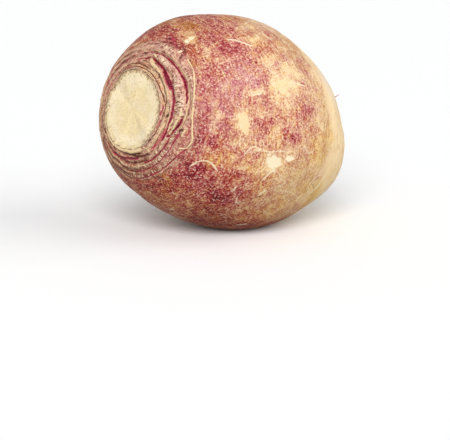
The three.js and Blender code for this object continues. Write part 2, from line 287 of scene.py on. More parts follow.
# The skin's tones. A patch is (turn, distance, across, along, strength) in degrees and mm; in
# tone, a positive one is redder and a negative one paler. A stroke is a line of (turn,
# distance) points, its width in mm and its strength.
skinTones = {
    "toneByDistance": [
        (0, 0.66), (45, 0.6), (62, 0.5), (82, 0.42), (97, 0.35), (101.5, 0.12), (108, 0.03), (200, 0),
    ],
    "tailEdge": [  # how much farther than that the tail's cream starts, by turn
        (200, 3), (225, 7), (235, 7), (243, 5.5), (251, 3.3), (258, 2), (272, 0.5), (285, -1.5),
        (298, -3), (320, -2), (345, 0),
    ],
    "tailEdgeFade": (70, 96),
    # The redder tone patches low on the belly, at turns 192 to 216 and distances 46 to 96, are painted
    # shade on its underside.
    "tone": [
        (228, 21, 9, 6, 0.2), (232, 22, 5, 4, 0.1), (208, 46, 12, 9, 0.05), (207, 69, 6, 10, 0.12),
        (214, 86, 5, 8, 0.14), (222, 68, 5, 9, 0.05), (188, 19, 12, 5, 0.05), (272, 22, 6, 4, -0.04),
        (274, 40, 5, 3, -0.08), (270, 30, 5, 4, 0.05), (223, 34, 8, 10, 0.1), (210, 24, 12, 9, 0.08),
        (228, 45, 9, 9, 0.22), (236, 31, 4, 4, 0.2), (258, 26, 3.5, 3, 0.36), (238, 27, 5, 3, 0.08),
        (196, 18, 8, 4, 0.1), (342, 17, 6, 3, 0.1), (320, 48, 4, 4, 0.08), (368, 26, 10, 6, 0.08),
        (267, 20, 6, 2.2, 0.2), (318, 40, 5, 3.5, 0.24), (331, 46, 7, 5, 0.16), (343, 21, 5, 3.5, 0.28),
        (268, 66, 3.5, 6, 0.3), (273, 52, 3.5, 6, 0.26), (281, 77, 4.5, 6, 0.26), (272, 85, 5, 4, 0.2),
        (305, 86, 6, 4, 0.24), (331, 71, 5, 5, 0.18), (352, 54, 9, 8, 0.1), (296, 52, 3, 3, 0.1),
        (318, 72, 4, 5, 0.1), (233, 66, 5, 4, 0.1), (256, 20, 6, 1.5, 0.15), (208, 30, 7, 6, 0.1),
        (273, 39, 5, 3.5, -0.58), (289, 48, 1.3, 4, -0.34), (296, 65, 8, 7, -0.42),
        (290, 58, 6, 3.5, -0.28), (307, 58, 6, 2.5, -0.22), (325, 57, 2.4, 8, -0.3),
        (336, 63, 3.5, 6, -0.3), (252, 59, 6, 6, -0.28), (259, 68, 4, 4, -0.26), (243, 74, 8, 9, -0.14),
        (237, 96, 7, 7, -0.2), (255, 92, 5, 6, -0.14), (247, 47, 3, 7, -0.16), (263, 45, 3, 6, -0.16),
        (280, 25, 6, 2, -0.24), (249, 37, 2.6, 6, -0.16), (337, 26, 3.8, 3.8, -0.6),
        (339, 29, 4, 4, -0.2), (242, 29, 5, 4, -0.1), (352, 34, 7, 5, -0.06), (192, 58, 9, 10, 0.06),
        (206, 72, 8, 16, 0.1), (216, 84, 6, 9, 0.1), (228, 18, 6, 3, 0.04), (321, 27, 3, 5, -0.16),
        (303, 75, 4, 5, -0.26), (345, 80, 10, 9, -0.2), (222, 75, 5, 10, -0.1), (285, 92, 9, 3, -0.12),
        (255, 27, 12, 7, -0.13), (316, 33, 8, 7, -0.09), (344, 28, 5, 7, -0.08), (261, 40, 7, 6, -0.12),
        (272, 55, 6, 8, -0.15), (285, 48, 13, 8, -0.1), (257, 53, 7, 7, -0.08), (328, 47, 4, 4, -0.1),
        (319, 73, 5, 5, -0.12), (304, 84, 5, 4, -0.12), (274, 86, 6, 4, -0.12), (198, 29, 12, 9, -0.1),
        (240, 57, 6, 6, -0.08), (233, 44, 5, 3, -0.08), (240, 90, 9, 8, -0.06),
        (252, 100, 14, 8, -0.05), (268, 60, 6, 4, -0.08), (272, 91, 6, 3, -0.08),
        (288, 104, 12, 6, -0.06), (336, 30, 3, 3, 0.08), (344, 42, 5, 4, 0.08), (336, 18, 5, 4, 0.09),
        (336, 31, 5, 3, 0.1), (272, 35, 4, 3, 0.1), (224, 48, 5, 4, 0.1), (200, 18, 7, 4, 0.1),
        (320, 36, 5, 3, -0.1), (281, 39, 5, 5, -0.09), (264, 60, 4, 3, -0.09), (316, 66, 6, 4, -0.1),
        (352, 66, 6, 5, -0.09), (200, 62, 9, 10, 0.12), (206, 54, 9, 12, 0.05), (211, 80, 7, 12, 0.07),
        (243.5, 97, 3, 6, -0.12), (238, 84, 6, 8, -0.04),
    ],
    "mauve": [(291, 34, 11, 7, 0.9), (299, 45, 7, 6, 0.9), (279, 31, 7, 3, 0.5), (268, 29, 4, 5, 0.5)],
    "ochre": [
        (352, 34, 6.5, 4.5, 1.15), (241.5, 29.5, 2.4, 2.6, 1.0), (213, 19.5, 3, 2.4, 0.95),
        (281, 25, 6, 1.8, 0.5), (215, 42, 3, 2.4, 0.6), (317, 21, 6, 2.4, 0.6), (257, 43, 4, 4, 0.4),
        (231, 78, 2.4, 2, 0.5), (205, 24, 6, 4, 0.5), (222, 88, 6, 5, 0.4),
    ],
    "khaki": [
        (246, 78, 12, 15, 0.9), (322, 84, 12, 8, 0.7), (250, 62, 9, 6, 0.5), (284, 94, 12, 4, 0.7),
        (226, 62, 5, 10, 0.5), (330, 60, 9, 9, 0.5), (262, 44, 6, 6, 0.3), (264, 96, 14, 4, 1),
        (240, 100, 9, 6, 0.8),
    ],
    # Browner skin, multiplied in. The big patches low on the belly (turns 200 to 214) are partly painted
    # shade, those along the neck's left edge (turns 80 to 178) are painted shade, and those by the
    # shoulder's pits (turns 332 to 336) are partly painted shade.
    "brown": [
        (200, 66, 17, 26, 1.2), (206, 84, 13, 22, 1), (214, 96, 9, 16, 1.2), (212, 88, 5, 10, 1.6),
        (178, 9, 26, 7, 0.9), (130, 9, 34, 10, 0.95), (80, 12, 34, 9, 0.7), (208, 48, 14, 12, 0.5),
        (194, 24, 18, 9, 0.35), (344, 62, 6, 6, 0.5), (352, 32, 16, 16, 0.6), (336, 27, 8, 9, 0.7),
        (368, 40, 9, 9, 0.7), (256, 76, 4, 16, 0.2), (222, 62, 6, 16, 0.3), (332, 28, 6, 10, 0.4),
    ],
    "sallow": [  # yellower
        (320, 2.5, 40, 3, 1), (194, 28, 18, 12, 1.4), (212, 30, 12, 9, 0.8), (246, 31, 9, 7, 1),
        (236, 41, 9, 6, 0.9), (240, 57, 10, 7, 0.9), (268, 57, 6, 5, 0.4), (222, 62, 8, 6, 0.6),
        (262, 88, 12, 10, 1), (241, 90, 8, 8, 0.9), (232, 104, 14, 10, 1), (324, 75, 6, 5, 0.8),
        (356, 31, 14, 10, 1), (350, 59, 10, 8, 1), (198, 17, 22, 5, 0.9), (228, 78, 12, 14, 0.8),
        (376, 18, 10, 6, 0.8), (330, 92, 9, 7, 0.6), (276, 60, 5, 4, 0.4), (272, 99, 9, 5, 0.9),
        (216, 69, 6, 11, 0.9), (320, 60, 5, 4, 0.8), (328, 24, 4, 4, 0.8), (204, 50, 12, 16, 1.1),
        (212, 80, 8, 14, 1.1), (206, 24, 12, 10, 1.4), (208, 44, 14, 12, 1.4), (217, 68, 8, 12, 1.4),
        (246, 50, 10, 12, 0.7),
    ],
    "rosy": [  # pinker
        (282, 23, 14, 8, 1), (300, 44, 14, 12, 0.9), (296, 84, 10, 8, 0.4), (342, 80, 8, 8, 0.8),
        (228, 19, 7, 4, 0.4), (320, 48, 4, 4, 0.8), (258, 26, 4, 4, 1), (238, 27, 6, 4, 0.8),
        (344, 27, 6, 5, 0.9), (344, 78, 7, 7, 0.9), (308, 111, 7, 5, 0.9),
    ],
    # A painted highlight: a paler cream patch on the tail.
    "paintedHighlight": [(310, 111, 18, 7, 1.3)],
    "white": [
        (254, 59.4, 2.9, 4.2, 1.5), (257, 55.6, 1.3, 1.5, 1), (249.6, 60.6, 1.4, 1.3, 0.8),
        (257.7, 68.1, 1.6, 2.4, 1.3), (336.5, 25.4, 2.3, 2.6, 0.75), (331.4, 18.9, 1.1, 1.1, 1.3),
        (338.4, 28.6, 2.2, 2.2, 0.7),
    ],
    # Lines that run side by side are listed in opposite directions.
    "whiteStrokes": [
        ([(251, 61), (248, 59), (243.5, 56.9)], 0.55, 0.8),
        ([(252, 56), (248, 54.5), (247, 52.6)], 0.3, 0.7),
        ([(258, 47.8), (258.5, 51.3), (258.5, 55.2), (260, 60.1), (260, 66.1)], 0.3, 0.6),
        ([(258.5, 51.5), (259.5, 49.2), (260, 46.7), (258, 44.6), (255, 43.2)], 0.3, 0.7),
        ([(251, 61), (249.6, 63.2), (246.5, 66)], 0.3, 0.5),
        ([(236, 23), (240, 24), (243, 26), (244.4, 28.6), (243.2, 31.2), (241.3, 33.4)], 0.32, 0.85),
        ([(326.5, 44), (325, 47), (322.5, 50), (320, 53.4)], 0.42, 0.9),
        ([(288.5, 46), (289.5, 50)], 0.5, 0.8),
        ([(247.5, 103.9), (244.5, 103), (241, 100.9), (238.4, 98.4)], 0.5, 1),
        ([(239, 95.6), (240, 93.6), (242, 91.9), (244, 91.4), (246, 92.8), (248.5, 95.9),
          (249.5, 98.8)], 0.36, 0.85),
        ([(242.5, 68.5), (244.5, 70.8)], 0.3, 0.7),
        ([(240, 72.4), (239.5, 79.4), (235.5, 88.6)], 0.28, 0.45), ([(227, 78), (231, 84)], 0.3, 0.5),
        ([(340, 62), (343, 67)], 0.42, 0.6), ([(297, 70), (296, 79)], 0.5, 0.7),
        ([(330, 67), (326, 70)], 0.35, 0.6), ([(209, 68), (211.5, 70)], 0.4, 1),
        ([(234, 60.1), (236, 60.2), (237.6, 61.3)], 0.42, 1), ([(233, 46), (234.8, 46.1)], 0.4, 0.8),
        ([(226, 52), (229, 50.4)], 0.3, 0.7), ([(264, 76), (261, 80), (262, 84)], 0.28, 0.5),
    ],
    "pitStrokes": [
        ([(325.5, 16.8), (327.4, 18.4)], 0.45, 0.9), ([(328.6, 20.8), (333, 21.6)], 0.4, 0.9),
        ([(232.8, 59.8), (233.8, 61.2)], 0.4, 0.8),
        ([(244.4, 93.6), (243.4, 96.6), (241.6, 98.6)], 0.3, 0.45),
        ([(240.6, 90.4), (243.8, 89.4), (247, 91.4)], 0.4, 0.35),
        ([(257.5, 11.5), (259, 12.8)], 0.7, 0.9),
    ],
    "strokeReach": (1.5, 3),  # how far off a line its mark fades out, in mm
    "strokeHeights": {"whiteLine": 0.16, "pitLine": -0.4},
    "whiteDepth": 0.2,
    "whiteEdge": (0.4, 1),
    "seenTurn": 275,
    "seenFade": (60, 100),  # how far off it the sides that don't show begin
}

# How far noises push the skin's marks about, and over what lengths, in mm.
skinWarps = {
    "patches": (3.2, 8),
    "patchEdges": (1.3, 2.6),
    "farWaves": (9, 26),
    "farRipples": (5, 9),
    "white": (0.9, 2.4),
    "crownLines": (0.25, 2.2),
    "tailEdgeShare": 0.8,
    "neckShare": 0.3,
}

# The seeded patches and scratches of the far side, in degrees and mm as above.
hiddenSide = {
    "turns": (5, 195),
    "patches": 64,
    "distances": (20, 98),
    "across": (3, 8),
    "along": (2.5, 6),
    "toneStrength": (0.15, 0.4),
    "otherStrength": (0.4, 0.9),
    "allPaleFrom": 130,
    "scratches": 9,
    "scratchDistances": (28, 100),
    "scratchStep": (3, 2.2),
    "scratchWidth": (0.3, 0.5),
    "scratchStrength": 0.9,
    "seed": 11,
}


def hiddenMarks():
    draw = np.random.default_rng(hiddenSide["seed"])
    kinds = ("tone", "ochre", "khaki", "tone", "mauve", "sallow")
    patches = {kind: [] for kind in kinds}
    for index in range(hiddenSide["patches"]):
        kind = kinds[index % len(kinds)]
        turn, distance, across, along = (
            draw.uniform(*hiddenSide[name]) for name in ("turns", "distances", "across", "along"))
        strength = draw.uniform(*hiddenSide["toneStrength" if kind == "tone" else "otherStrength"])
        paler = kind == "tone" and draw.random() < distance / hiddenSide["allPaleFrom"]
        patches[kind].append((turn, distance, across, along, -strength if paler else strength))
    scratches = []
    for _ in range(hiddenSide["scratches"]):
        turn, distance = draw.uniform(*hiddenSide["turns"]), draw.uniform(*hiddenSide["scratchDistances"])
        steps = draw.normal(0, 1, (3, 2)).cumsum(0) * hiddenSide["scratchStep"]
        points = [(turn + a, distance + b) for a, b in steps]
        scratches.append((points, draw.uniform(*hiddenSide["scratchWidth"]),
            hiddenSide["scratchStrength"]))
    return patches, scratches


# Patches laid over each other: summed for the tone, and the strongest for the others.
def patchField(patches, turn, distance, radius, warp, summed=False):
    field = np.zeros(radius.shape)
    for middleTurn, middleDistance, across, along, strength in patches:
        sideways = np.radians(turnBetween(middleTurn, turn)) * radius + warp[0]
        lengthways = distance - middleDistance + warp[1]
        near = strength * np.exp(-(sideways / across) ** 2 - (lengthways / along) ** 2)
        field = field + near if summed else np.maximum(field, near)
    return field


farAcross = 9  # widths off a line past which nothing of it shows


# Lines on the skin: how near the nearest one is, how many of its widths off it a point is, with
# the side as a sign so that a line thinner than the mesh still shows, and its strength there.
def strokeLines(strokes, turn, distance, radius):
    nearest = np.full(radius.shape, np.inf)
    across, strength = np.zeros(radius.shape), np.zeros(radius.shape)
    near, far = skinTones["strokeReach"]
    for points, width, strongest in strokes:
        for index, (start, end) in enumerate(zip(points, points[1:])):
            (turnA, distanceA), (turnB, distanceB) = start, end
            x, y = np.radians(turnBetween(turnA, turn)) * radius, distance - distanceA
            runX, runY = np.radians(turnB - turnA) * radius, distanceB - distanceA
            run = np.hypot(runX, runY)
            share, side = (x * runX + y * runY) / run ** 2, (x * runY - y * runX) / run
            before, after = np.maximum(0, -share) * run, np.maximum(0, share - 1) * run
            gap = np.hypot(side, before + after)
            pastEnd = before * (index == 0) + after * (index == len(points) - 2)
            closer = gap < nearest
            nearest = np.where(closer, gap, nearest)
            side = np.where(pastEnd > 0, side, np.copysign(gap, side))
            across = np.where(closer, side / width, across)
            fade = strongest * (1 - smoothStep(pastEnd, 0, near)) * (1 - smoothStep(gap, near, far))
            strength = np.where(closer, fade, strength)
    return nearest, np.clip(across, -farAcross, farAcross), strength


def strokeField(strokes, turn, distance, radius):
    field = np.zeros(radius.shape)
    for stroke in strokes:
        nearest, _, _ = strokeLines([stroke], turn, distance, radius)
        field = np.maximum(field, stroke[2] * np.exp(-(nearest / stroke[1]) ** 2))
    return field


# The neck's own lines on the side that shows most: wine in the grooves, pale on the lips, and
# hatch where short fibres cross the rings.
crownLines = {
    "wine": [
        ([(240, 5.2), (250, 5.3), (262, 5.6), (275, 6.3), (285, 7), (300, 6.9), (320, 7.2),
          (345, 7.8)], 0.62, 1),
        ([(345, 7.8), (355, 7.5), (372, 6)], 0.4, 1),
        ([(301, 6.4), (307, 5.9), (314, 6.1), (323, 6.9)], 1.15, 1),
        ([(312, 6.8), (330, 7.4), (345, 7.8)], 0.8, 1),
        ([(224, 4), (235, 4.2), (250, 4.5), (256, 4.9)], 1, 0.62),
        ([(247, 6.9), (250, 7.6), (254, 8.5)], 0.9, 1),
        ([(254, 8.5), (259, 9.8), (264, 10.8), (268, 11.5)], 0.6, 1),
        ([(283, 13.4), (291, 13.6), (303, 14.1), (311, 13.5), (320, 12.9), (331, 12.6),
          (343, 12)], 0.6, 1),
        ([(343, 12), (352, 11), (366, 9.4)], 0.4, 1),
        ([(298, 13.6), (303, 13.9), (309, 13.4)], 0.75, 1), ([(318, 12.9), (332, 12.5)], 0.65, 1),
        ([(200, 7.9), (212, 8), (228, 7.9), (246, 8.1)], 0.4, 0.9),
        ([(174, 12.2), (202, 11.1), (220, 10.9), (240, 10.8), (250, 11.2), (256, 12.2)], 0.34, 0.85),
        ([(176, 16.6), (200, 14.6), (222, 14.6), (233, 15.1), (240, 16), (245, 17.6)], 0.38, 0.9),
        ([(250, 0.4), (262, 0.9)], 0.4, 0.8), ([(268, 0.4), (274, 0.9), (281, 1.6)], 0.42, 0.9),
        ([(256, 15.7), (260, 16.4)], 0.7, 0.7), ([(204, 7.4), (212, 8.3)], 0.7, 0.6),
        ([(251, 11), (255, 13.4)], 0.9, 0.6), ([(366, 14), (384, 15.4), (400, 15.4)], 0.5, 0.6),
        ([(323, 15.8), (326, 17.6)], 0.5, 0.7),
        ([(150, 6.9), (165, 5.6), (182, 4.6), (196, 4.4)], 0.85, 0.85),
        ([(340, 20), (352, 24)], 1.2, 0.5),
    ],
    "brown": [
        ([(342, 4.2), (329, 3.8), (312, 3.2), (297, 3.1), (283, 2.7), (270, 2), (255, 1.2),
          (238, 0.8)], 0.28, 0.9),
        ([(246, 3.5), (258, 3.7), (270, 4.7), (283, 5.1)], 0.26, 0.7),
        # The next stroke is painted shadow under the cut face's rim at its lower left.
        ([(214, 4.7), (204, 4.2), (190, 3.2), (172, 2.2)], 0.8, 0.8),
        ([(280, 15.6), (292, 16.4), (304, 17)], 0.24, 0.5),
        ([(286, 2.1), (293, 1.8), (303, 1.2), (325, 1.1), (345, 1.5), (400, 1.3)], 0.33, 0.9),
        ([(340, 2.6), (362, 3.4), (385, 4)], 0.4, 0.7), ([(268, 3.2), (270, 4.2)], 1, 0.8),
        ([(322, 2.8), (324, 4.7)], 0.6, 0.7), ([(297, 2.6), (299, 3.2)], 0.45, 0.7),
        ([(228, 0.8), (236, 1.4)], 0.5, 0.6),
        ([(150, 6.6), (165, 5.4), (182, 4.4), (196, 4.2)], 0.5, 0.7),
        ([(170, 7.4), (190, 7.2), (206, 7.2)], 0.4, 0.7),
        ([(160, 12.6), (180, 12), (196, 11.9)], 0.5, 0.6),
        ([(100, 4.8), (118, 4.5), (126, 3.8), (140, 3.1), (157, 2.3), (176, 2.2),
          (200, 2.6)], 0.34, 0.95),
        ([(216, 0.7), (240, 0.5)], 0.25, 0.8), ([(352, 5.4), (358, 5.2)], 0.7, 0.7),
        ([(358, 9.4), (364, 10)], 0.7, 0.8), ([(306, 10.3), (312, 11)], 0.6, 0.5),
        ([(352, 18.4), (372, 17.4), (392, 17.3)], 0.35, 0.6),
    ],
    "pale": [
        ([(243, 14.6), (246, 17.5), (252, 18.4), (257, 18), (263, 16.9), (270, 16.4),
          (279, 16.3)], 0.42, 1),
        ([(283, 16.6), (292, 17.5), (300, 18.3), (306, 19.2), (313, 19.6), (322, 19.7)], 0.4, 0.9),
        ([(257, 10.8), (262, 12), (270, 12.8), (278, 13.6), (285, 14.3)], 0.36, 1),
        ([(250, 7.2), (263, 9.1), (271, 10.4), (278, 11)], 0.7, 0.7),
        ([(285, 14.4), (296, 15.1), (304, 15.3), (311, 14.9), (322, 14.2)], 0.34, 1),
        ([(351, 5.3), (340, 6), (326, 4.9), (310, 4.3), (298, 4.2), (288, 4)], 0.38, 0.75),
        ([(244, 2.4), (262, 2.7), (280, 3.4)], 0.3, 0.6),
        ([(322, 14.2), (340, 13.3), (356, 11.9)], 0.3, 0.6),
        ([(336, 4.6), (342, 5.6), (349, 6.8)], 1.1, 1),
        ([(222, 2.5), (240, 2.5), (250, 2.7), (260, 3.4)], 0.32, 1),
        # The two strokes on the next line are painted highlights on the neck.
        ([(252, 5.9), (258, 5.9), (266, 6.8)], 0.36, 1), ([(254, 13.5), (259, 14)], 0.6, 1),
        ([(213, 0.8), (215, 2.2), (217, 3.8)], 0.6, 0.9),
        ([(257, 6.8), (260, 8), (263, 9.6)], 0.6, 0.55), ([(344, 9.2), (351, 10.8)], 0.8, 0.7),
        ([(292, 3), (300, 2.1)], 0.4, 0.8), ([(183, 8.6), (200, 8.7), (215, 8.9)], 0.28, 0.7),
        ([(104, 2.2), (124, 1.6), (150, 0.9), (176, 0.8), (206, 0.9)], 0.95, 1),
        ([(212, 13.6), (226, 13.6)], 0.28, 0.5), ([(306, 0.6), (320, 0.5), (350, 0.7)], 0.3, 0.6),
    ],
    "hatch": [
        (196, 9.4, 16, 1.5, 0.9), (222, 9.4, 14, 1.1, 1.5), (243, 9.6, 7, 1.2, 1.5),
        (250, 10.2, 6, 1.1, 1.4), (259, 12.8, 2, 1.6, 1.2), (278, 9.5, 9, 3, 1.2),
        (300, 9.8, 10, 2.6, 1), (338, 9.8, 8, 2, 1.2), (225, 6.3, 14, 0.8, 1),
        (212, 12.9, 18, 1.6, 0.9), (300, 16.6, 14, 1.4, 0.8), (272, 14.6, 7, 1.4, 0.7),
        (345, 15.5, 9, 2.6, 0.9), (228, 18.6, 8, 2.4, 0.7), (196, 2, 14, 1.5, 0.5),
        (258, 13.6, 2, 1, 1), (180, 6, 20, 1.6, 0.7), (240, 2, 12, 0.8, 0.6), (285, 4.4, 14, 1.4, 0.4),
        (120, 10, 40, 7, 0.5), (196, 14.5, 24, 2.4, 0.9),
    ],
    "front": 278,  # the drawn lines take over from the general ones within these turns of it
    "frontFade": (92, 116),
    "relief": {"neckPale": 0.35, "neckWine": -0.5, "neckBrown": -0.25},
    "skinLike": [
        (262, 15.6, 14, 2.6, 1.0), (232, 13.5, 14, 2, 0.6), (232, 17.6, 12, 2.2, 1),
        (330, 18, 8, 1.6, 0.6), (254, 12, 4, 1.4, 1), (196, 14, 24, 2.6, 0.7),
        (204, 10.4, 16, 1.6, 0.45), (190, 18, 26, 3.4, 0.9), (356, 18, 10, 3, 0.7),
    ],
    "cream": [
        (306, 3.6, 16, 1.5, 0.9), (276, 4.4, 8, 1.4, 0.7), (266, 9, 4, 2.4, 0.7), (250, 9.6, 4, 1, 0.4),
        (228, 1.5, 14, 1, 0.8), (180, 1.4, 24, 1.4, 0.8), (230, 6.2, 10, 0.7, 0.7),
        (288, 8.6, 8, 1.8, 0.55), (286, 15.4, 9, 1.2, 0.55), (310, 0.4, 20, 0.7, 0.6),
        (334, 3.2, 8, 1.6, 0.7),
    ],
}


# The tone of every point of the skin, as fields from 0 to 1, and the relief of its marks.
def skinFields(turn, distance, radius, ringPlace):
    def stray(name, seed):
        far, size = skinWarps[name]
        return far * softNoise(ringPlace, size, seed)

    def patched(patches, warp, summed=False):
        return patchField(patches, turn, distance, radius, warp, summed)

    warp = [stray("patches", seed) + stray("patchEdges", seed + 2) for seed in (21, 22)]
    neckWarp = [shift * skinWarps["neckShare"] for shift in warp]
    patches, scratches = hiddenMarks()
    fields = {}
    for kind in ("tone", "mauve", "ochre", "khaki", "brown", "sallow", "rosy", "paintedHighlight"):
        fields[kind] = patched(skinTones[kind] + patches.get(kind, []), warp, summed=kind == "tone")
    unseen = smoothStep(np.abs(turnBetween(skinTones["seenTurn"], turn)), *skinTones["seenFade"])
    farther = unseen * (stray("farWaves", 25) + stray("farRipples", 26))
    edge = np.interp(turn, *zip(*skinTones["tailEdge"])) * smoothStep(distance,
        *skinTones["tailEdgeFade"])
    straying = distance + skinWarps["tailEdgeShare"] * warp[1] + farther - edge
    fields["tone"] = fields["tone"] + np.interp(straying, *zip(*skinTones["toneByDistance"]))
    fields["white"] = patched(skinTones["white"], [stray("white", seed) for seed in (61, 62)])
    relief = -skinTones["whiteDepth"] * smoothStep(fields["white"], *skinTones["whiteEdge"])
    strokes = {"whiteLine": skinTones["whiteStrokes"] + scratches, "pitLine": skinTones["pitStrokes"]}
    for name, height in skinTones["strokeHeights"].items():
        nearest, across, strength = strokeLines(strokes[name], turn, distance, radius)
        fields[name], fields[name + "Strength"] = across, strength
        relief = relief + height * strength * np.exp(-nearest ** 2)
    rootScars = [(*place, size, size * skinRelief["rootScarLength"], 1) for *place,
        size in rootScarPlaces()]
    fields["rootScar"] = patched(rootScars, (0, 0))
    fields["neckCream"] = patched(crownLines["cream"], neckWarp)
    fields["unseen"] = smoothStep(np.abs(turnBetween(crownLines["front"], turn)),
        *crownLines["frontFade"])
    fields["corky"] = 1 - np.minimum(1, patched(crownLines["skinLike"], neckWarp))
    fields["neckHatch"] = np.minimum(1, patched(crownLines["hatch"], neckWarp))
    relief = relief - skinRelief["rootScarDepth"] * fields["rootScar"] ** 2
    for kind, name in (("pale", "neckPale"), ("wine", "neckWine"), ("brown", "neckBrown")):
        fields[name] = strokeField(crownLines[kind], turn, distance + stray("crownLines", 51), radius)
        relief = relief + crownLines["relief"][name] * fields[name]
    return fields, relief


# Fine relief of the skin, as (height, size round the root, size along it) in mm.
skinRelief = {
    "wrinkles": (0.11, 16, 1.4),
    "dents": (0.22, 9, 9),
    "neckRings": (0.2, 22, 0.8),
    "neckFibres": (0.26, 2, 5),
    "tailWrinkles": (0.22, 13, 1.9),
    "tailDents": (0.5, 7, 9),
    "tailStart": (104, 140),
    "fibrePatches": (9, -0.4, 0.5),  # size of the patches, and where they start and are full
    "skinEnds": (1.2, 2),  # over how much of the skin's two ends the relief fades in
    "faceRoughness": (0.12, 2.2),  # height and size, here and in the next two
    "rimRoughness": (0.4, 1.3),
    "tailRoughness": (0.5, 2.5),
    "faceStretch": 0.42,
    "tailStretch": 0.2,
    "rimSpan": (0.9, 0.99),  # where the cut face's rim is rough, and where its middle is even
    "middleSpan": (0, 0.1),
    "rootScars": 26,  # small pits that thin side roots left, by the furrows
    "rootScarSpread": 9,
    "rootScarSize": (0.7, 1.5),
    "rootScarReach": (92, 148),
    "rootScarLength": 0.7,  # share of its width
    "rootScarDepth": 0.6,
    "seed": 5,
}


def reliefNoise(ringPlace, name, seed):
    height, around, along = skinRelief[name]
    return height * softNoise(ringPlace / np.array([around, around, along]), 1, seed)


# Places of the small side roots, as (turn, distance, size), close along the two furrows.
def rootScarPlaces():
    draw = np.random.default_rng(skinRelief["seed"])
    places = []
    for index in range(skinRelief["rootScars"]):
        furrow = rootForm["furrowTurns"][index % 2]
        turn = furrow + draw.normal(0, skinRelief["rootScarSpread"])
        distance = draw.uniform(*skinRelief["rootScarReach"])
        places.append((turn, distance, draw.uniform(*skinRelief["rootScarSize"])))
    return places


def fineRelief(ringPlace, distance, groove, neck):
    relief = reliefNoise(ringPlace, "wrinkles", 31)
    relief = relief + reliefNoise(ringPlace, "dents", 32) * (1 - neck)
    size, start, full = skinRelief["fibrePatches"]
    patchy = smoothStep(softNoise(ringPlace, size, 34), start, full)
    rings = reliefNoise(ringPlace, "neckRings", 35)
    fibres = reliefNoise(ringPlace, "neckFibres", 33) * patchy * (1 - groove)
    onTail = smoothStep(distance, *skinRelief["tailStart"])
    tail = reliefNoise(ringPlace, "tailWrinkles", 36) + reliefNoise(ringPlace, "tailDents", 37)
    return relief + (rings + fibres) * neck + tail * onTail


# Noise over a flat face, from its ring's places drawn in to its middle.
def faceNoise(name, ringPlace, shares, stretch, seed):
    height, size = skinRelief[name]
    return height * softNoise(ringPlace[:1] * np.array([stretch, stretch, 1]) * shares[..., None],
        size, seed)


# The rows of the skin and of its two flat faces, with each face's shares of the way to its rim.
def buildRoot():
    turns = np.arange(rootForm["columns"]) * 360 / rootForm["columns"]
    distances = skinDistances()
    ringPlace, radius, groove, neck = (
        surface(distances, turns)[2][name] for name in ("ringPlace", "radius", "groove", "neck"))
    turnGrid, distanceGrid = np.broadcast_arrays(turns[None, :], distances[:, None])
    marks, markRelief = skinFields(turnGrid, distanceGrid, radius, ringPlace)
    relief = markRelief + fineRelief(ringPlace, distanceGrid, groove, neck)
    crownEnd, tailEnd = skinRelief["skinEnds"]
    fadeIn = smoothStep(distanceGrid, 0, crownEnd) * smoothStep(skinLength - distanceGrid, 0, tailEnd)
    skin = surface(distances, turns, extraRelief=relief * fadeIn)

    faceShares = 1 - np.linspace(0, 1, rootForm["faceRows"] + 1)[1:] ** rootForm["faceRowSpread"]
    faceShares = np.concatenate([[rootForm["rimRow"]], faceShares])
    shares = faceShares[:, None]
    stretch = skinRelief["faceStretch"]
    rough = faceNoise("faceRoughness", ringPlace, shares, stretch, 41)
    onRim = smoothStep(shares, *skinRelief["rimSpan"])
    rough = rough + faceNoise("rimRoughness", ringPlace, shares, stretch, 42) * onRim
    sink = rootForm["faceDish"] * (1 - shares ** 2) + rough * smoothStep(shares,
        *skinRelief["middleSpan"])
    face = surface(np.zeros(len(faceShares)), turns, shares, sink)

    tailShares = 1 - np.linspace(0, 1, rootForm["tailFaceRows"] + 1)[1:]
    shares = tailShares[:, None]
    rough = faceNoise("tailRoughness", ringPlace, shares, skinRelief["tailStretch"], 43)
    bulge = rootForm["tailBulge"] * (1 - shares) + rough * shares
    tail = surface(np.full(len(tailShares), skinLength), turns, shares, bulge)
    return turns, distances, skin, marks, face, faceShares, tail, tailShares


def stackRows(blocks, poles):
    rows = np.concatenate([block.reshape(-1, *block.shape[2:]) for block in blocks])
    return np.concatenate([poles[:1], rows, poles[1:]])


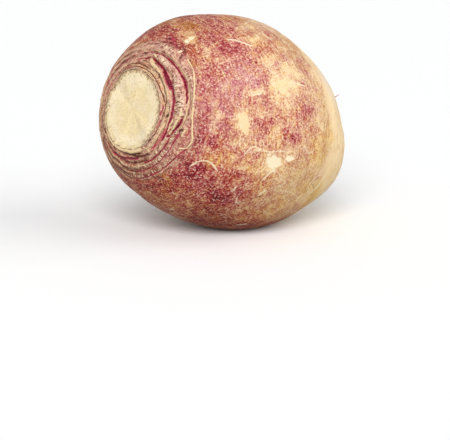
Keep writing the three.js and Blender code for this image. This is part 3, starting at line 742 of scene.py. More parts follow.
# One mesh from the face's middle over its rim, the skin and the tail to the tail's middle.
def rootMesh():
    turns, distances, skin, marks, face, faceShares, tail, tailShares = buildRoot()
    columns = rootForm["columns"]
    faceRows, tailRows = len(faceShares) - 1, len(tailShares) - 1

    def column(fromFace, fromSkin, fromTail):
        blocks = [fromFace[:-1][::-1], fromSkin, fromTail[:-1]]
        return stackRows(blocks, np.stack([fromFace[-1][0], fromTail[-1][0]]))

    places = column(face[0], skin[0], tail[0]) * mm
    rowCount = faceRows + len(distances) + tailRows
    ring = 1 + np.arange(rowCount)[:, None] * columns + np.arange(columns)[None, :]
    nextRing = np.roll(ring, -1, axis=1)
    quads = np.stack([ring[:-1], ring[1:], nextRing[1:], nextRing[:-1]], -1).reshape(-1, 4)
    crownFan = np.stack([np.zeros(columns, int), ring[0], nextRing[0]], -1)
    tailFan = np.stack([ring[-1], np.full(columns, len(places) - 1), nextRing[-1]], -1)
    mesh = bpy.data.meshes.new("turnipRoot")
    mesh.from_pydata(places.tolist(), [], quads.tolist() + crownFan.tolist() + tailFan.tolist())
    mesh.update()
    quadRows = np.repeat(np.arange(rowCount - 1), columns)
    onTail = quadRows >= rowCount - tailRows - 1
    slots = np.where(quadRows < faceRows, 1, np.where(onTail, 2, 0))  # skin, cut face, broken tail
    slots = np.concatenate([slots, np.full(columns, 1), np.full(columns, 2)])
    mesh.polygons.foreach_set("material_index", slots)
    mesh.polygons.foreach_set("use_smooth", np.ones(len(mesh.polygons), bool))

    def blank(block):
        return np.zeros(block[0].shape[:2])

    def spread(values, block):
        return np.broadcast_to(values, blank(block).shape)

    middle, near, far = rootForm["paleRim"]
    rimBrowning = smoothStep(np.abs(turnBetween(middle, turns)), near, far)
    fields = {
        "rootPlace": (face[1], skin[1], tail[1]),
        "ringPlace": tuple(block[2]["ringPlace"] for block in (face, skin, tail)),
        "faceShare": (spread(faceShares[:, None], face), blank(skin) + 1, spread(tailShares[:, None],
            tail)),
        "rimBrowning": (spread(rimBrowning, face), blank(skin), blank(tail)),
        "distance": (blank(face), spread(distances[:, None], skin), blank(tail) + skinLength),
    }
    for name in ("groove", "lip", "neck"):
        marks[name] = skin[2][name]
    for name, field in marks.items():
        fields[name] = (blank(face), field, blank(tail))
    for name, blocks in fields.items():
        values = column(*blocks)
        kind, key = ("FLOAT_VECTOR", "vector") if values.ndim > 1 else ("FLOAT", "value")
        mesh.attributes.new(name, kind, "POINT").data.foreach_set(key, values.astype(np.float32).ravel())
    return mesh


# Shader helpers.
class NodeTree:
    def __init__(self, tree, look=None):
        self.tree = tree
        self.look = look

    def add(self, kind, **settings):
        node = self.tree.nodes.new(kind)
        for name, value in settings.items():
            setattr(node, name, value)
        return node

    def link(self, source, target):
        self.tree.links.new(source, target)

    def feed(self, socket, value):
        if isinstance(value, bpy.types.NodeSocket):
            self.link(value, socket)
        else:
            socket.default_value = value

    def attribute(self, name, output="Fac"):
        return self.add("ShaderNodeAttribute", attribute_name=name).outputs[output]

    def math(self, operation, first, second=0.0):
        node = self.add("ShaderNodeMath", operation=operation)
        self.feed(node.inputs[0], first)
        self.feed(node.inputs[1], second)
        return node.outputs[0]

    def times(self, first, *others):
        for other in others:
            first = self.math("MULTIPLY", first, other)
        return first

    def plus(self, first, *others):
        for other in others:
            first = self.math("ADD", first, other)
        return first

    def swing(self, noise, height):  # a noise that swings to both sides of nothing
        return self.times(self.math("SUBTRACT", noise, 0.5), height)

    def ramp(self, value, start, end, low=0.0, high=1.0):
        node = self.add("ShaderNodeMapRange", interpolation_type="SMOOTHSTEP")
        sockets = ("Value", "From Min", "From Max", "To Min", "To Max")
        for name, given in zip(sockets, (value, start, end, low, high)):
            self.feed(node.inputs[name], given)
        return node.outputs["Result"]

    def mix(self, factor, first, second, blend="MIX"):
        node = self.add("ShaderNodeMix", data_type="RGBA", blend_type=blend)
        colours = [socket for socket in node.inputs if socket.type == "RGBA"]
        self.feed(node.inputs["Factor"], factor)
        self.feed(colours[0], first)
        self.feed(colours[1], second)
        return next(socket for socket in node.outputs if socket.type == "RGBA")

    def colourRamp(self, value, stops):
        node = self.add("ShaderNodeValToRGB")
        elements = node.color_ramp.elements
        while len(elements) < len(stops):
            elements.new(1)
        for element, (position, shade) in zip(elements, stops):
            element.position = position
            element.color = shade
        self.link(value, node.inputs["Fac"])
        return node.outputs["Color"]

    def scaled(self, vector, scale):
        node = self.add("ShaderNodeVectorMath", operation="MULTIPLY")
        self.feed(node.inputs[0], vector)
        self.feed(node.inputs[1], scale)
        return node.outputs[0]

    # The size is in mm, or a socket that holds the scale.
    def noise(self, vector, size=1, stretch=None, detail=2.0, roughness=0.5, distortion=0.0):
        node = self.add("ShaderNodeTexNoise")
        self.feed(node.inputs["Vector"], self.scaled(vector, stretch) if stretch else vector)
        self.feed(node.inputs["Scale"], size if isinstance(size, bpy.types.NodeSocket) else 1 / size)
        node.inputs["Detail"].default_value = detail
        node.inputs["Roughness"].default_value = roughness
        node.inputs["Distortion"].default_value = distortion
        return node.outputs["Fac"]

    def group(self, tree, **values):
        node = self.add("ShaderNodeGroup", node_tree=tree)
        for name, value in values.items():
            self.feed(node.inputs[name], value)
        return node.outputs


# A material's nodes, with the colour that its layers have made so far. Its look holds the
# colours, and under their names the spans, edges and strengths of its masks.
class Paint(NodeTree):
    def readPlaces(self):
        self.place = self.attribute("rootPlace", "Vector")
        self.ring = self.attribute("ringPlace", "Vector")

    def texture(self, name, vector):
        return self.noise(vector, **self.look[name])

    def span(self, name, value):  # how much a mask shows, between two values of what drives it
        return self.ramp(value, *self.look["spans"][name])

    def ragged(self, name, mask=None):
        size, raggedness, softness = self.look["edges"][name]
        mask = self.attribute(name) if mask is None else mask
        return self.group(raggedEdge, Mask=mask, Place=self.place, Scale=1 / size,
                          Raggedness=raggedness, Softness=softness)["Mask"]

    def lay(self, mask, colour, strength=None, blend="MIX"):
        mask = mask if strength is None else self.times(mask, strength)
        shade = self.look[colour] if isinstance(colour, str) else colour
        self.colour = self.mix(mask, self.colour, shade, blend)

    def finish(self, shader, grainHeight, height):
        self.link(self.colour, shader.inputs["Base Color"])
        self.link(self.ramp(grainHeight, *grainSpan, *self.look["roughness"]), shader.inputs["Roughness"])
        shader.inputs["Specular IOR Level"].default_value = self.look["specular"]
        bump = self.add("ShaderNodeBump")
        bump.inputs["Strength"].default_value = self.look["bumpStrength"]
        bump.inputs["Distance"].default_value = self.look["bumpDistance"]
        self.link(height, bump.inputs["Height"])
        self.link(bump.outputs["Normal"], shader.inputs["Normal"])


grainSpan = (0.3, 0.7)  # nearly all of the grain's height lies between these
number, place3d = "NodeSocketFloat", "NodeSocketVector"


def newGroup(name, inputs, outputs):
    tree = bpy.data.node_groups.new(name, "ShaderNodeTree")
    for label, kind in inputs:
        tree.interface.new_socket(label, in_out="INPUT", socket_type=kind)
    for label in outputs:
        tree.interface.new_socket(label, in_out="OUTPUT", socket_type=number)
    nodes = NodeTree(tree)
    return nodes, nodes.add("NodeGroupInput").outputs, nodes.add("NodeGroupOutput").inputs


# A soft mask whose edge is broken up by noise, so that a patch grades off in ragged islands.
def raggedEdgeGroup():
    inputs = [("Mask", number), ("Place", place3d), ("Scale", number), ("Raggedness", number),
        ("Softness", number)]
    nodes, given, out = newGroup("raggedEdge", inputs, ["Mask"])
    noise = nodes.noise(given["Place"], given["Scale"], detail=4, roughness=0.62)
    shifted = nodes.plus(given["Mask"], nodes.swing(noise, given["Raggedness"]))
    low = nodes.math("SUBTRACT", 0.5, given["Softness"])
    high = nodes.plus(0.5, given["Softness"])
    nodes.link(nodes.ramp(shifted, low, high), out["Mask"])
    return nodes.tree


# Fine grain: pale and dark specks the size of cells of the skin, and their height.
def skinGrainGroup():
    inputs = [("Place", place3d), ("Scale", number), ("Pale", number), ("Dark", number)]
    nodes, given, out = newGroup("skinGrain", inputs, ["Pale", "Dark", "Height"])
    noise = nodes.noise(given["Place"], given["Scale"], detail=2.5, roughness=0.75)
    nodes.link(nodes.times(nodes.ramp(noise, 0.535, 0.66), given["Pale"]), out["Pale"])
    nodes.link(nodes.times(nodes.ramp(noise, 0.465, 0.34), given["Dark"]), out["Dark"])
    nodes.link(noise, out["Height"])
    return nodes.tree


# Short pale dashes, some cells of a stretched pattern holding one each.
def flecksGroup():
    inputs = [("Place", place3d), ("Stretch", place3d), ("Size", number), ("Share", number)]
    nodes, given, out = newGroup("flecks", inputs, ["Mask"])
    cells = nodes.add("ShaderNodeTexVoronoi")
    nodes.link(nodes.scaled(given["Place"], given["Stretch"]), cells.inputs["Vector"])
    cells.inputs["Scale"].default_value = 1
    near = nodes.ramp(cells.outputs["Distance"], given["Size"], nodes.times(given["Size"], 0.5))
    picked = nodes.math("LESS_THAN", cells.outputs["Color"], given["Share"])
    nodes.link(nodes.times(near, picked), out["Mask"])
    return nodes.tree


# Long thin threads that wind through the skin: the contour lines of a stretched noise.
def threadsGroup():
    nodes, given, out = newGroup("threads", [("Place", place3d), ("Stretch", place3d), ("Width",
        number)], ["Mask"])
    stretched = nodes.scaled(given["Place"], given["Stretch"])
    noise = nodes.noise(stretched, detail=2.5, roughness=0.6, distortion=0.5)
    away = nodes.math("ABSOLUTE", nodes.math("SUBTRACT", noise, 0.5))
    nodes.link(nodes.ramp(away, given["Width"], 0), out["Mask"])
    return nodes.tree


raggedEdge = raggedEdgeGroup()
skinGrain = skinGrainGroup()
flecks = flecksGroup()
threads = threadsGroup()

skinLook = {
    "toneColours": [  # from the pale tail to the wine-red crown
        (0.0, (0.88, 0.67, 0.385, 1)), (0.2, (0.74, 0.52, 0.285, 1)), (0.38, (0.59, 0.345, 0.19, 1)),
        (0.53, (0.50, 0.20, 0.137, 1)), (0.7, (0.40, 0.075, 0.07, 1)), (0.86, (0.265, 0.014, 0.028, 1)),
        (1.0, (0.115, 0.004, 0.012, 1)),
    ],
    "mauve": (0.58, 0.31, 0.26, 1),
    "ochre": (0.46, 0.19, 0.045, 1),
    "khaki": (0.54, 0.345, 0.12, 1),
    # Multiplied in by the brown patches: browner skin, and in places painted shade.
    "brownTint": (0.66, 0.44, 0.32, 1),
    "sallowTint": (1.03, 0.97, 0.64, 1),
    "rosyTint": (1.0, 0.97, 1.14, 1),
    # Pale cream of the painted highlight on the tail.
    "paintedHighlight": (0.80, 0.67, 0.50, 1),
    "cork": (0.66, 0.36, 0.26, 1),
    "corkGrey": (0.76, 0.55, 0.44, 1),
    # Dark brown of the cork's rings, and of the painted shade beside the pale lines.
    "corkBrownAndShade": (0.20, 0.05, 0.03, 1),
    "corkWine": (0.40, 0.075, 0.07, 1),
    "hatchPale": (0.84, 0.70, 0.48, 1),
    "hatchDark": (0.15, 0.025, 0.02, 1),
    "neckCream": (0.78, 0.58, 0.36, 1),
    "lip": (0.76, 0.575, 0.31, 1),
    "grooveBrown": (0.10, 0.028, 0.015, 1),
    "grooveWine": (0.42, 0.03, 0.075, 1),
    "wineCore": (0.12, 0.003, 0.013, 1),
    "tailBrown": (0.30, 0.15, 0.06, 1),
    "tailTan": (0.66, 0.42, 0.19, 1),
    "white": (0.82, 0.70, 0.48, 1),
    "paleSpeck": (0.80, 0.58, 0.44, 1),
    "darkSpeck": (0.12, 0.008, 0.014, 1),
    "tanSpeck": (0.34, 0.14, 0.05, 1),
    # Noises, by size in mm or by stretch, of which the first two numbers are round the root.
    "cloud": {"size": 5, "detail": 5, "roughness": 0.66},
    "streaks": {"stretch": (0.14, 0.14, 0.9), "detail": 4, "roughness": 0.62},
    "hue": {"size": 3.2, "detail": 3, "roughness": 0.6},
    "threadClouds": {"size": 8},
    "hatchClouds": {"size": 7, "detail": 3},
    "fibres": {"size": 0.85, "stretch": (0.62, 0.62, 0.34), "detail": 3, "roughness": 0.7,
        "distortion": 0.6},
    "rings": {"size": 0.7, "stretch": (0.1, 0.1, 0.75), "detail": 4, "roughness": 0.7},
    "grain": {"Scale": 1.0, "Pale": 0.78, "Dark": 0.8},
    "threads": {"Stretch": (0.1, 0.1, 0.36), "Width": 0.036},
    "dashes": {"Stretch": (0.22, 0.22, 0.75), "Size": 0.26, "Share": 0.3},
    "swings": {"cloud": 1.0, "streaks": 0.7, "grain": -1.0, "core": 1.6, "line": 2},
    "edges": {  # of the patches and lines: size in mm, raggedness, softness
        "mauve": (5, 1.0, 0.4), "khaki": (6, 1.3, 0.4), "ochre": (4, 1.0, 0.3),
        "brown": (5, 0.9, 0.5), "sallow": (5, 0.9, 0.5), "rosy": (5, 0.9, 0.5), "paintedHighlight": (5, 0.8, 0.4),
        "neckCream": (3, 0.9, 0.35), "lip": (5, 2.2, 0.35), "groove": (5, 2.0, 0.35),
        "neckWine": (1.4, 0.9, 0.28), "neckBrown": (1.2, 0.9, 0.28), "neckPale": (1.1, 1.3, 0.28),
        "white": (1.8, 1.3, 0.14),
    },
    "strengths": {
        "mauve": 0.45, "khaki": 0.4, "ochre": 0.75, "brown": 0.9, "sallow": 1, "rosy": 1,
        "paleSpeck": 0.85, "brownSpecks": 0.35, "dashes": 0.6, "paintedHighlight": 0.6, "cork": 0.75,
        "neckCream": 0.7,
    },
    "spans": {  # where each mask starts and is full, and how much it shows there
        "mottled": (108, 97, 0.15, 1),  # skin distances, here and in the next three
        "toneFloor": (108, 97, 0, 0.13),
        "tailStain": (112, 150),
        "tailBlush": (98, 112),
        "thread": (0.42, 0.56, 0.03, 0.24),
        "sallowHue": (0.53, 0.63, 0, 0.85),
        "rosyHue": (0.47, 0.38, 0, 0.85),
        "hueTone": (0.05, 0.4),
        "speckTone": (0.45, 0.8),
        "specks": (0.25, 0.65, 0.15, 0.85),
        "stainStreaks": (0.46, 0.7, 0, 0.55),
        "rootScar": (0.15, 0.75, 0, 0.8),
        "blushClouds": (0.5, 0.68, 0, 0.5),
        "hatchClouds": (0.45, 0.65, 0.03, 0.32),
        "corkGrey": (0.4, 0.6),
        "corkWine": (0.55, 0.85, 0, 0.7),
        "corkBrownAndShade": (0.465, 0.405, 0, 0.95),
        "corkCream": (0.53, 0.6, 0, 0.95),
        "hatchDark": (0.48, 0.41),
        "hatchPale": (0.52, 0.59),
        "lip": (0, 1, 0.08, 0.36),
        "groove": (0, 1, 0.08, 0.8),
        "grooveWine": (0.5, 0.62),
        "wineCore": (0.66, 1),
        # The painted shade beside the pale lines: the band of their mask between these two spans, broken
        # up by clouds.
        "shadeEdgeStart": (0.03, 0.16),
        "shadeEdgeEnd": (0.5, 0.3),
        "shadeEdgeClouds": (0.44, 0.56, 0.1, 0.75),
        "paleLip": (0.4, 0.56),
        "line": (1.5, 0.5),
    },
    "roughness": (0.38, 0.6),
    "specular": 0.2,
    "heights": {"grain": 0.7, "fibres": 2.2, "dashes": 0.2},
    "bumpStrength": 0.45,
    "bumpDistance": 0.0005,
}


def newMaterial(name, look=None):
    material = bpy.data.materials.new(name)
    material.use_nodes = True
    material.node_tree.nodes.clear()
    nodes = Paint(material.node_tree, look)
    shader = nodes.add("ShaderNodeBsdfPrincipled")
    nodes.link(shader.outputs[0], nodes.add("ShaderNodeOutputMaterial").inputs["Surface"])
    return material, nodes, shader


def skinMaterial():
    material, paint, shader = newMaterial("mottledSkin", skinLook)
    paint.readPlaces()
    paint.distance = paint.attribute("distance")
    paint.neck = paint.attribute("neck")
    paint.cloud = paint.texture("cloud", paint.place)
    paint.streaks = paint.texture("streaks", paint.ring)
    paint.fibres = paint.texture("fibres", paint.ring)
    paint.grain = paint.group(skinGrain, Place=paint.place, **skinLook["grain"])
    paint.dashes = paint.group(flecks, Place=paint.ring, **skinLook["dashes"])["Mask"]
    paintMottling(paint)
    paintTail(paint)
    paintCork(paint)
    paintNeckLines(paint)
    paintScars(paint)
    heights = skinLook["heights"]
    height = paint.plus(paint.times(paint.grain["Height"], heights["grain"]), paint.streaks)
    height = paint.plus(height, paint.times(paint.fibres, paint.hatched, heights["fibres"]))
    height = paint.plus(height, paint.times(paint.dashes, heights["dashes"]))
    paint.finish(shader, paint.grain["Height"], height)
    return material


# The tone, broken up by clouds, by streaks that run round the root, by threads and by the grain,
# with its colour tinted in patches.
def paintMottling(paint):
    swings, strengths = skinLook["swings"], skinLook["strengths"]
    mottled = paint.span("mottled", paint.distance)
    broken = paint.swing(paint.cloud, swings["cloud"])
    broken = paint.plus(broken, paint.swing(paint.streaks, swings["streaks"]))
    broken = paint.plus(broken, paint.swing(paint.grain["Height"], swings["grain"]))
    thread = paint.group(threads, Place=paint.ring, **skinLook["threads"])["Mask"]
    thread = paint.times(thread, paint.span("thread", paint.texture("threadClouds", paint.place)))
    broken = paint.math("SUBTRACT", broken, thread)
    tone = paint.plus(paint.attribute("tone"), paint.times(broken, mottled))
    tone = paint.tone = paint.math("MAXIMUM", tone, paint.span("toneFloor", paint.distance))
    paint.colour = paint.colourRamp(tone, skinLook["toneColours"])
    for name in ("mauve", "khaki", "ochre"):
        paint.lay(paint.ragged(name), name, strengths[name])
    hue = paint.texture("hue", paint.place)
    for name in ("sallow", "rosy"):
        tint = paint.times(paint.span(name + "Hue", hue), paint.span("hueTone", tone))
        paint.lay(tint, name + "Tint", blend="MULTIPLY")
    # The brown patches are multiplied in here: browner skin, partly painted shade on the belly, along the
    # neck's left edge and by the shoulder's pits.
    for name in ("brown", "sallow", "rosy"):
        paint.lay(paint.ragged(name), name + "Tint", strengths[name], "MULTIPLY")
    paint.lay(paint.times(paint.grain["Pale"], mottled), "paleSpeck", strengths["paleSpeck"])
    speckColour = paint.mix(paint.span("speckTone", tone), skinLook["tanSpeck"], skinLook["darkSpeck"])
    # More dark specks on the brown patches, so these are partly painted shade too.
    onBrown = paint.times(paint.attribute("brown"), strengths["brownSpecks"])
    shown = paint.plus(paint.span("specks", tone), onBrown)
    paint.lay(paint.times(paint.grain["Dark"], shown, mottled), speckColour)
    paint.lay(paint.dashes, "white", strengths["dashes"])
    # The painted highlight on the tail.
    paint.lay(paint.ragged("paintedHighlight"), "paintedHighlight", strengths["paintedHighlight"])


# The tail: stained in streaks and round the scars of its side roots.
def paintTail(paint):
    streaked = paint.span("stainStreaks", paint.streaks)
    paint.lay(paint.times(paint.span("tailStain", paint.distance), streaked), "tailBrown")
    paint.lay(paint.span("rootScar", paint.attribute("rootScar")), "tailBrown")
    clouded = paint.span("blushClouds", paint.cloud)
    paint.lay(paint.times(paint.span("tailBlush", paint.distance), clouded), "tailTan")


# The neck: corky rings, cream where they are worn, with a hatch of short fibres across them.
def paintCork(paint):
    strengths = skinLook["strengths"]
    rings = paint.rings = paint.texture("rings", paint.ring)
    cork = paint.mix(paint.span("corkGrey", paint.cloud), skinLook["cork"], skinLook["corkGrey"])
    cork = paint.mix(paint.span("corkWine", paint.tone), cork, skinLook["corkWine"])
    # The brown patches, partly painted shade, darken the cork too.
    for name in ("brown", "sallow"):
        cork = paint.mix(paint.ragged(name), cork, skinLook[name + "Tint"], "MULTIPLY")
    cork = paint.mix(paint.span("corkBrownAndShade", rings), cork, skinLook["corkBrownAndShade"])
    cork = paint.mix(paint.span("corkCream", rings), cork, skinLook["neckCream"])
    paint.lay(paint.times(paint.neck, paint.attribute("corky")), cork, strengths["cork"])
    paint.lay(paint.ragged("neckCream"), "neckCream", strengths["neckCream"])
    patchy = paint.span("hatchClouds", paint.texture("hatchClouds", paint.place))
    hatch = paint.math("MAXIMUM", paint.attribute("neckHatch"), patchy)
    paint.hatched = paint.times(hatch, paint.neck)
    for name in ("hatchDark", "hatchPale"):
        paint.lay(paint.times(paint.span(name, paint.fibres), paint.hatched), name)


# The neck's lips and grooves: the general ones, strong where the drawn lines end, then those.
def paintNeckLines(paint):
    unseen = paint.attribute("unseen")
    paint.lay(paint.times(paint.ragged("lip"), paint.span("lip", unseen)), "lip")
    grooveColour = paint.mix(paint.span("grooveWine", paint.cloud), skinLook["grooveBrown"],
        skinLook["grooveWine"])
    paint.lay(paint.times(paint.ragged("groove"), paint.span("groove", unseen)), grooveColour)
    paint.lay(paint.ragged("neckWine"), "grooveWine")
    core = paint.plus(paint.attribute("neckWine"), paint.swing(paint.fibres, skinLook["swings"]["core"]))
    paint.lay(paint.span("wineCore", core), "wineCore")
    paint.lay(paint.ragged("neckBrown"), "grooveBrown")
    pale = paint.attribute("neckPale")
    # Painted shade: a dark edge along each raised pale line, broken up by clouds.
    outline = paint.times(paint.span("shadeEdgeStart", pale), paint.span("shadeEdgeEnd", pale))
    paint.lay(paint.times(outline, paint.span("shadeEdgeClouds", paint.cloud)), "corkBrownAndShade")
    # The pale lines, of which two drawn strokes are painted highlights.
    paleColour = paint.mix(paint.span("paleLip", paint.rings), skinLook["neckCream"], skinLook["lip"])
    paint.lay(paint.ragged("neckPale"), paleColour)


def paintScars(paint):
    paint.lay(paint.ragged("white"), "white")
    for name, colourName in (("whiteLine", "white"), ("pitLine", "grooveBrown")):
        off = paint.math("ABSOLUTE", paint.attribute(name))
        off = paint.plus(off, paint.swing(paint.cloud, skinLook["swings"]["line"]))
        paint.lay(paint.times(paint.span("line", off), paint.attribute(name + "Strength")), colourName)


fleshLook = {
    "cream": (0.86, 0.72, 0.47, 1),
    "yellow": (0.84, 0.68, 0.385, 1),
    "white": (0.91, 0.79, 0.56, 1),
    "brown": (0.33, 0.165, 0.08, 1),
    "rimBrown": (0.16, 0.07, 0.05, 1),
    "cloud": {"size": 9, "detail": 4, "roughness": 0.6},
    "rays": {"stretch": (0.3, 0.3, 1), "detail": 3, "roughness": 0.7},
    "cuts": {"stretch": (0.12, 1.6, 0.5)},
    "vessels": {"Stretch": (0.55, 0.55, 0.55), "Size": 0.3, "Share": 0.35},
    "grain": {"Scale": 0.8, "Pale": 0.45, "Dark": 0.2},
    "edges": {"whiteRing": (3, 1.2, 0.4), "browned": (1.4, 2.6, 0.25), "rim": (1.5, 1.2, 0.2)},
    "strengths": {"whiteRing": 0.5, "vessels": 0.25},
    "spans": {
        "yellow": (0.34, 0.58),
        "ringInside": (0.55, 0.78),  # shares of the way to the rim, here and in the next four
        "ringOutside": (0.97, 0.82),
        "outer": (0.25, 0.7),
        "browned": (0.8, 0.96, 0, 0.66),
        "rim": (0.95, 0.985, 0, 0.75),
        "paleRays": (0.52, 0.68, 0, 0.18),
        "brownRays": (0.46, 0.34, 0, 0.1),
        "brownedShown": (0, 1, 0.2, 0.7),
        "rimShown": (0, 1, 0.08, 0.6),
    },
    "rayHeight": 0.5,
    "roughness": (0.5, 0.7),
    "specular": 0.3,
    "bumpStrength": 0.3,
    "bumpDistance": 0.0004,
}


# Cut flesh: cream with yellow cloud, faint rays and vessels, browned and broken at its rim.
def fleshMaterial():
    material, paint, shader = newMaterial("cutFlesh", fleshLook)
    paint.readPlaces()
    strengths = fleshLook["strengths"]
    share = paint.attribute("faceShare")
    yellowed = paint.span("yellow", paint.texture("cloud", paint.place))
    paint.colour = paint.mix(yellowed, fleshLook["cream"], fleshLook["yellow"])
    band = paint.times(paint.span("ringInside", share), paint.span("ringOutside", share))
    paint.lay(paint.ragged("whiteRing", band), "white", strengths["whiteRing"])
    rays = paint.texture("rays", paint.ring)
    outer = paint.span("outer", share)
    paint.lay(paint.times(paint.span("paleRays", rays), outer), "white")
    paint.lay(paint.times(paint.span("brownRays", rays), outer), "brown")
    vessels = paint.group(flecks, Place=paint.place, **fleshLook["vessels"])["Mask"]
    paint.lay(vessels, "brown", strengths["vessels"])
    grain = paint.group(skinGrain, Place=paint.place, **fleshLook["grain"])
    paint.lay(grain["Pale"], "white")
    paint.lay(grain["Dark"], "brown")
    browning = paint.attribute("rimBrowning")
    for name, colourName in (("browned", "brown"), ("rim", "rimBrown")):
        edge = paint.ragged(name, paint.span(name, share))
        paint.lay(paint.times(edge, paint.span(name + "Shown", browning)), colourName)
    height = paint.plus(paint.texture("cuts", paint.place), paint.times(rays, fleshLook["rayHeight"]))
    paint.finish(shader, grain["Height"], paint.plus(grain["Height"], height))
    return material


tailEndLook = {
    "dryTan": (0.52, 0.34, 0.16, 1),
    "yellow": fleshLook["yellow"],
    "white": fleshLook["white"],
    "brown": fleshLook["brown"],
    "stray": {"size": 3, "detail": 4, "roughness": 0.65},
    "ringTurns": 19,
    "grain": {"Scale": 0.7, "Pale": 0.5, "Dark": 0.7},
    "edges": {"rim": (2, 1.6, 0.3)},
    "spans": {"rings": (-0.7, 0.8, 0, 0.6), "rim": (0.5, 1)},
    "rimStrength": 0.8,
    "roughness": 0.75,
}


# The broken end of the taproot: dry and fibrous, in rings that darken towards its rim.
def tailMaterial():
    material, paint, shader = newMaterial("brokenTail", tailEndLook)
    paint.readPlaces()
    share = paint.attribute("faceShare")
    strayed = paint.plus(share, paint.texture("stray", paint.place))
    rings = paint.math("SINE", paint.times(strayed, tailEndLook["ringTurns"]))
    paint.colour = paint.mix(paint.span("rings", rings), tailEndLook["dryTan"], tailEndLook["yellow"])
    grain = paint.group(skinGrain, Place=paint.place, **tailEndLook["grain"])
    paint.lay(grain["Pale"], "white")
    paint.lay(grain["Dark"], "brown")
    paint.lay(paint.ragged("rim", paint.span("rim", share)), "brown", tailEndLook["rimStrength"])
    paint.link(paint.colour, shader.inputs["Base Color"])
    shader.inputs["Roughness"].default_value = tailEndLook["roughness"]
    return material


root = addThing("turnipRoot", rootMesh())
for material in (skinMaterial(), fleshMaterial(), tailMaterial()):
    root.data.materials.append(material)
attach(root, "root")
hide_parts("turnip")
print("root made:", len(root.data.polygons), "faces")

# Thin side roots: most by the furrows near the tail, trimmed short, and one on the shoulder.
rootlets = {
    "shoulder": [(302, 121, 4.4)],  # turn, distance, length
    "start": 118,  # root scars beyond this distance still hold one
    "length": (2.5, 9),
    "thickness": 0.42,
    "thicker": (1.1, 2),
    "tipShare": 0.28,
    "sides": 6,
    "steps": 7,
    "sunk": 0.8,
    "lean": 0.45,
    "towardsTail": 0.5,
    "curl": 0.35,
    "clearance": 0.4,
    "grain": {"Scale": 1.2, "Pale": 0.6, "Dark": 0.6},
    "roughness": (0.55, 0.75),
    "seed": 8,
}


# Rings of a thin tapering tube along a path, closed at its tip.
def tubeMesh(path, thickness, vertices, faces):
    path = np.array(path)
    first = len(vertices)
    sides, count = rootlets["sides"], len(path)
    along = np.gradient(path, axis=0)
    along /= np.linalg.norm(along, axis=1, keepdims=True)
    across = np.cross(along, (0.3, 0.2, 0.93))
    across /= np.linalg.norm(across, axis=1, keepdims=True)
    other = np.cross(along, across)
    for step in range(count):
        radius = thickness / 2 * (1 - (1 - rootlets["tipShare"]) * step / (count - 1))
        for side in range(sides):
            angle = 2 * math.pi * side / sides
            outwards = math.cos(angle) * across[step] + math.sin(angle) * other[step]
            vertices.append(path[step] + radius * outwards)
    for step in range(count - 1):
        for side in range(sides):
            a, b = first + step * sides + side, first + step * sides + (side + 1) % sides
            faces.append((a, b, b + sides, a + sides))
    faces.append(tuple(first + side for side in reversed(range(sides))))
    faces.append(tuple(first + (count - 1) * sides + side for side in range(sides)))


def makeRootlets():
    draw = np.random.default_rng(rootlets["seed"])
    held = [(turn, distance, draw.uniform(*rootlets["length"])) for turn, distance, _ in rootScarPlaces()
            if distance > rootlets["start"]]
    vertices, faces = [], []
    for turn, distance, length in rootlets["shoulder"] + held:
        near = surface(np.array([distance - 1, distance + 1]), np.array([turn - 1.5, turn + 1.5]))[0]
        start = near.mean((0, 1))
        down = near[1].mean(0) - near[0].mean(0)
        outwards = np.cross(down, near[:, 1].mean(0) - near[:, 0].mean(0))
        away = np.sign(outwards @ (start - np.array(rootForm["bellyPlace"])))
        outwards *= away / np.linalg.norm(outwards)
        heading = outwards + draw.normal(0, rootlets["lean"], 3)
        heading = heading + down / np.linalg.norm(down) * rootlets["towardsTail"]
        heading /= np.linalg.norm(heading)
        path = [start - outwards * rootlets["sunk"]]
        for _ in range(rootlets["steps"]):
            heading = heading + draw.normal(0, rootlets["curl"], 3)
            heading /= np.linalg.norm(heading)
            path.append(path[-1] + heading * length / rootlets["steps"])
        if min(point[2] for point in path) > rootlets["clearance"]:
            tubeMesh(path, rootlets["thickness"] * draw.uniform(*rootlets["thicker"]), vertices, faces)
    mesh = bpy.data.meshes.new("rootlets")
    mesh.from_pydata([tuple(vertex * mm) for vertex in vertices], [], faces)
    mesh.polygons.foreach_set("use_smooth", np.ones(len(mesh.polygons), bool))
    material, nodes, shader = newMaterial("rootletSkin")
    grainPlace = nodes.scaled(nodes.add("ShaderNodeTexCoord").outputs["Object"], (1 / mm, 1 / mm, 1 / mm))
    grain = nodes.group(skinGrain, Place=grainPlace, **rootlets["grain"])
    colourNow = nodes.mix(grain["Pale"], skinLook["tailBrown"], skinLook["tailTan"])
    colourNow = nodes.mix(grain["Dark"], colourNow, skinLook["grooveBrown"])
    nodes.link(colourNow, shader.inputs["Base Color"])
    roughness = nodes.ramp(grain["Height"], *grainSpan, *rootlets["roughness"])
    nodes.link(roughness, shader.inputs["Roughness"])
    mesh.materials.append(material)
    piece = addThing("rootlets", mesh)
    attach(piece, "root")
    print("rootlets made:", len(faces), "faces")


makeRootlets()

# The floor, the light and the camera.
stageLook = {
    "floorSize": 40,
    "floorRoughness": 0.9,
    "floorColour": (0.975, 0.975, 0.97, 1),
    "backdropColour": (0.97, 0.97, 0.97, 1),
    "skyColour": (0.97, 0.98, 1.0, 1),
    "skyStrength": 0.46,
    "floorGlow": (0.48, 0.465, 0.45, 1),  # of the floor as the turnip sees it
}


def towards(azimuth, elevation):
    turn, rise = math.radians(azimuth), math.radians(elevation)
    return Vector((math.sin(turn) * math.cos(rise), -math.cos(turn) * math.cos(rise), math.sin(rise)))


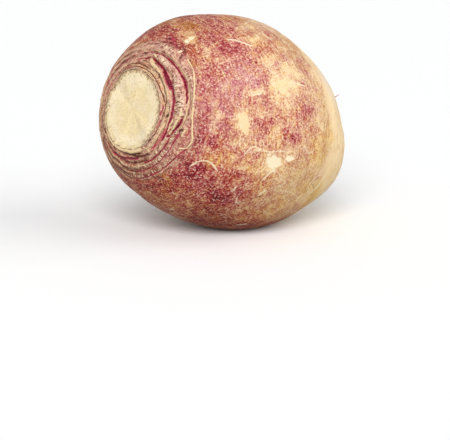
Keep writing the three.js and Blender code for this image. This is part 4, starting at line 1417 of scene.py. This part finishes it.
def makeFloor():
    half = stageLook["floorSize"] / 2
    mesh = bpy.data.meshes.new("floor")
    corners = [(x * half, y * half, 0) for x, y in ((-1, -1), (1, -1), (1, 1), (-1, 1))]
    mesh.from_pydata(corners, [], [(0, 1, 2, 3)])
    floor = addThing("floor", mesh)
    material, nodes, shader = newMaterial("paleFloor")
    seen = nodes.add("ShaderNodeLightPath").outputs["Is Camera Ray"]
    colour = nodes.mix(seen, stageLook["floorGlow"], stageLook["floorColour"])
    nodes.link(colour, shader.inputs["Base Color"])
    shader.inputs["Roughness"].default_value = stageLook["floorRoughness"]
    mesh.materials.append(material)


def makeSky():
    world = bpy.data.worlds.new("softRoom")
    world.use_nodes = True
    nodes = NodeTree(world.node_tree)
    glow = world.node_tree.nodes["Background"]
    glow.inputs["Color"].default_value = stageLook["skyColour"]
    glow.inputs["Strength"].default_value = stageLook["skyStrength"]
    backdrop = nodes.add("ShaderNodeBackground")
    backdrop.inputs["Color"].default_value = stageLook["backdropColour"]
    mixed = nodes.add("ShaderNodeMixShader")  # the sky lights softly, and shows as a white backdrop
    nodes.link(nodes.add("ShaderNodeLightPath").outputs["Is Camera Ray"], mixed.inputs["Fac"])
    nodes.link(glow.outputs[0], mixed.inputs[1])
    nodes.link(backdrop.outputs[0], mixed.inputs[2])
    nodes.link(mixed.outputs[0], world.node_tree.nodes["World Output"].inputs["Surface"])
    bpy.context.scene.world = world


# Far soft lamps: the way that each shines from, how wide it looks in degrees, and its strength.
lamps = {
    "keyLamp": {"azimuth": -48, "elevation": 33, "width": 38, "strength": 2.56},
    "fillLamp": {"azimuth": 35, "elevation": 20, "width": 60, "strength": 1.32},
}


def makeLamps():
    for name, lamp in lamps.items():
        source = towards(lamp["azimuth"], lamp["elevation"])
        data = bpy.data.lights.new(name, "SUN")
        data.angle = math.radians(lamp["width"])
        data.energy = lamp["strength"]
        light = addThing(name, data)
        light.location = source * 2  # a sun lamp lights the same from any distance
        light.rotation_euler = source.to_track_quat("Z", "Y").to_euler()


# The photograph's view. The root's belly is this far off the middle of the picture.
view = {
    "azimuth": -45.18,
    "elevation": 13,
    "distance": 0.735,
    "lens": 108,
    "right": 0.0021,
    "up": 0.0531,
}


def makeCamera():
    turn = math.radians(view["azimuth"])
    back = towards(view["azimuth"], view["elevation"])
    right = Vector((math.cos(turn), math.sin(turn), 0))
    up = back.cross(right)
    belly = Vector(rootForm["bellyPlace"]) * mm
    data = bpy.data.cameras.new("camera")
    data.lens = view["lens"]
    data.sensor_fit = "HORIZONTAL"
    camera = addThing("camera", data)
    camera.location = belly + back * view["distance"] - right * view["right"] - up * view["up"]
    camera.rotation_euler = Matrix((right, up, back)).transposed().to_euler()
    bpy.context.scene.camera = camera


makeFloor()
makeSky()
makeLamps()
makeCamera()
bpy.context.scene.view_settings.view_transform = "Standard"
print("stage made")
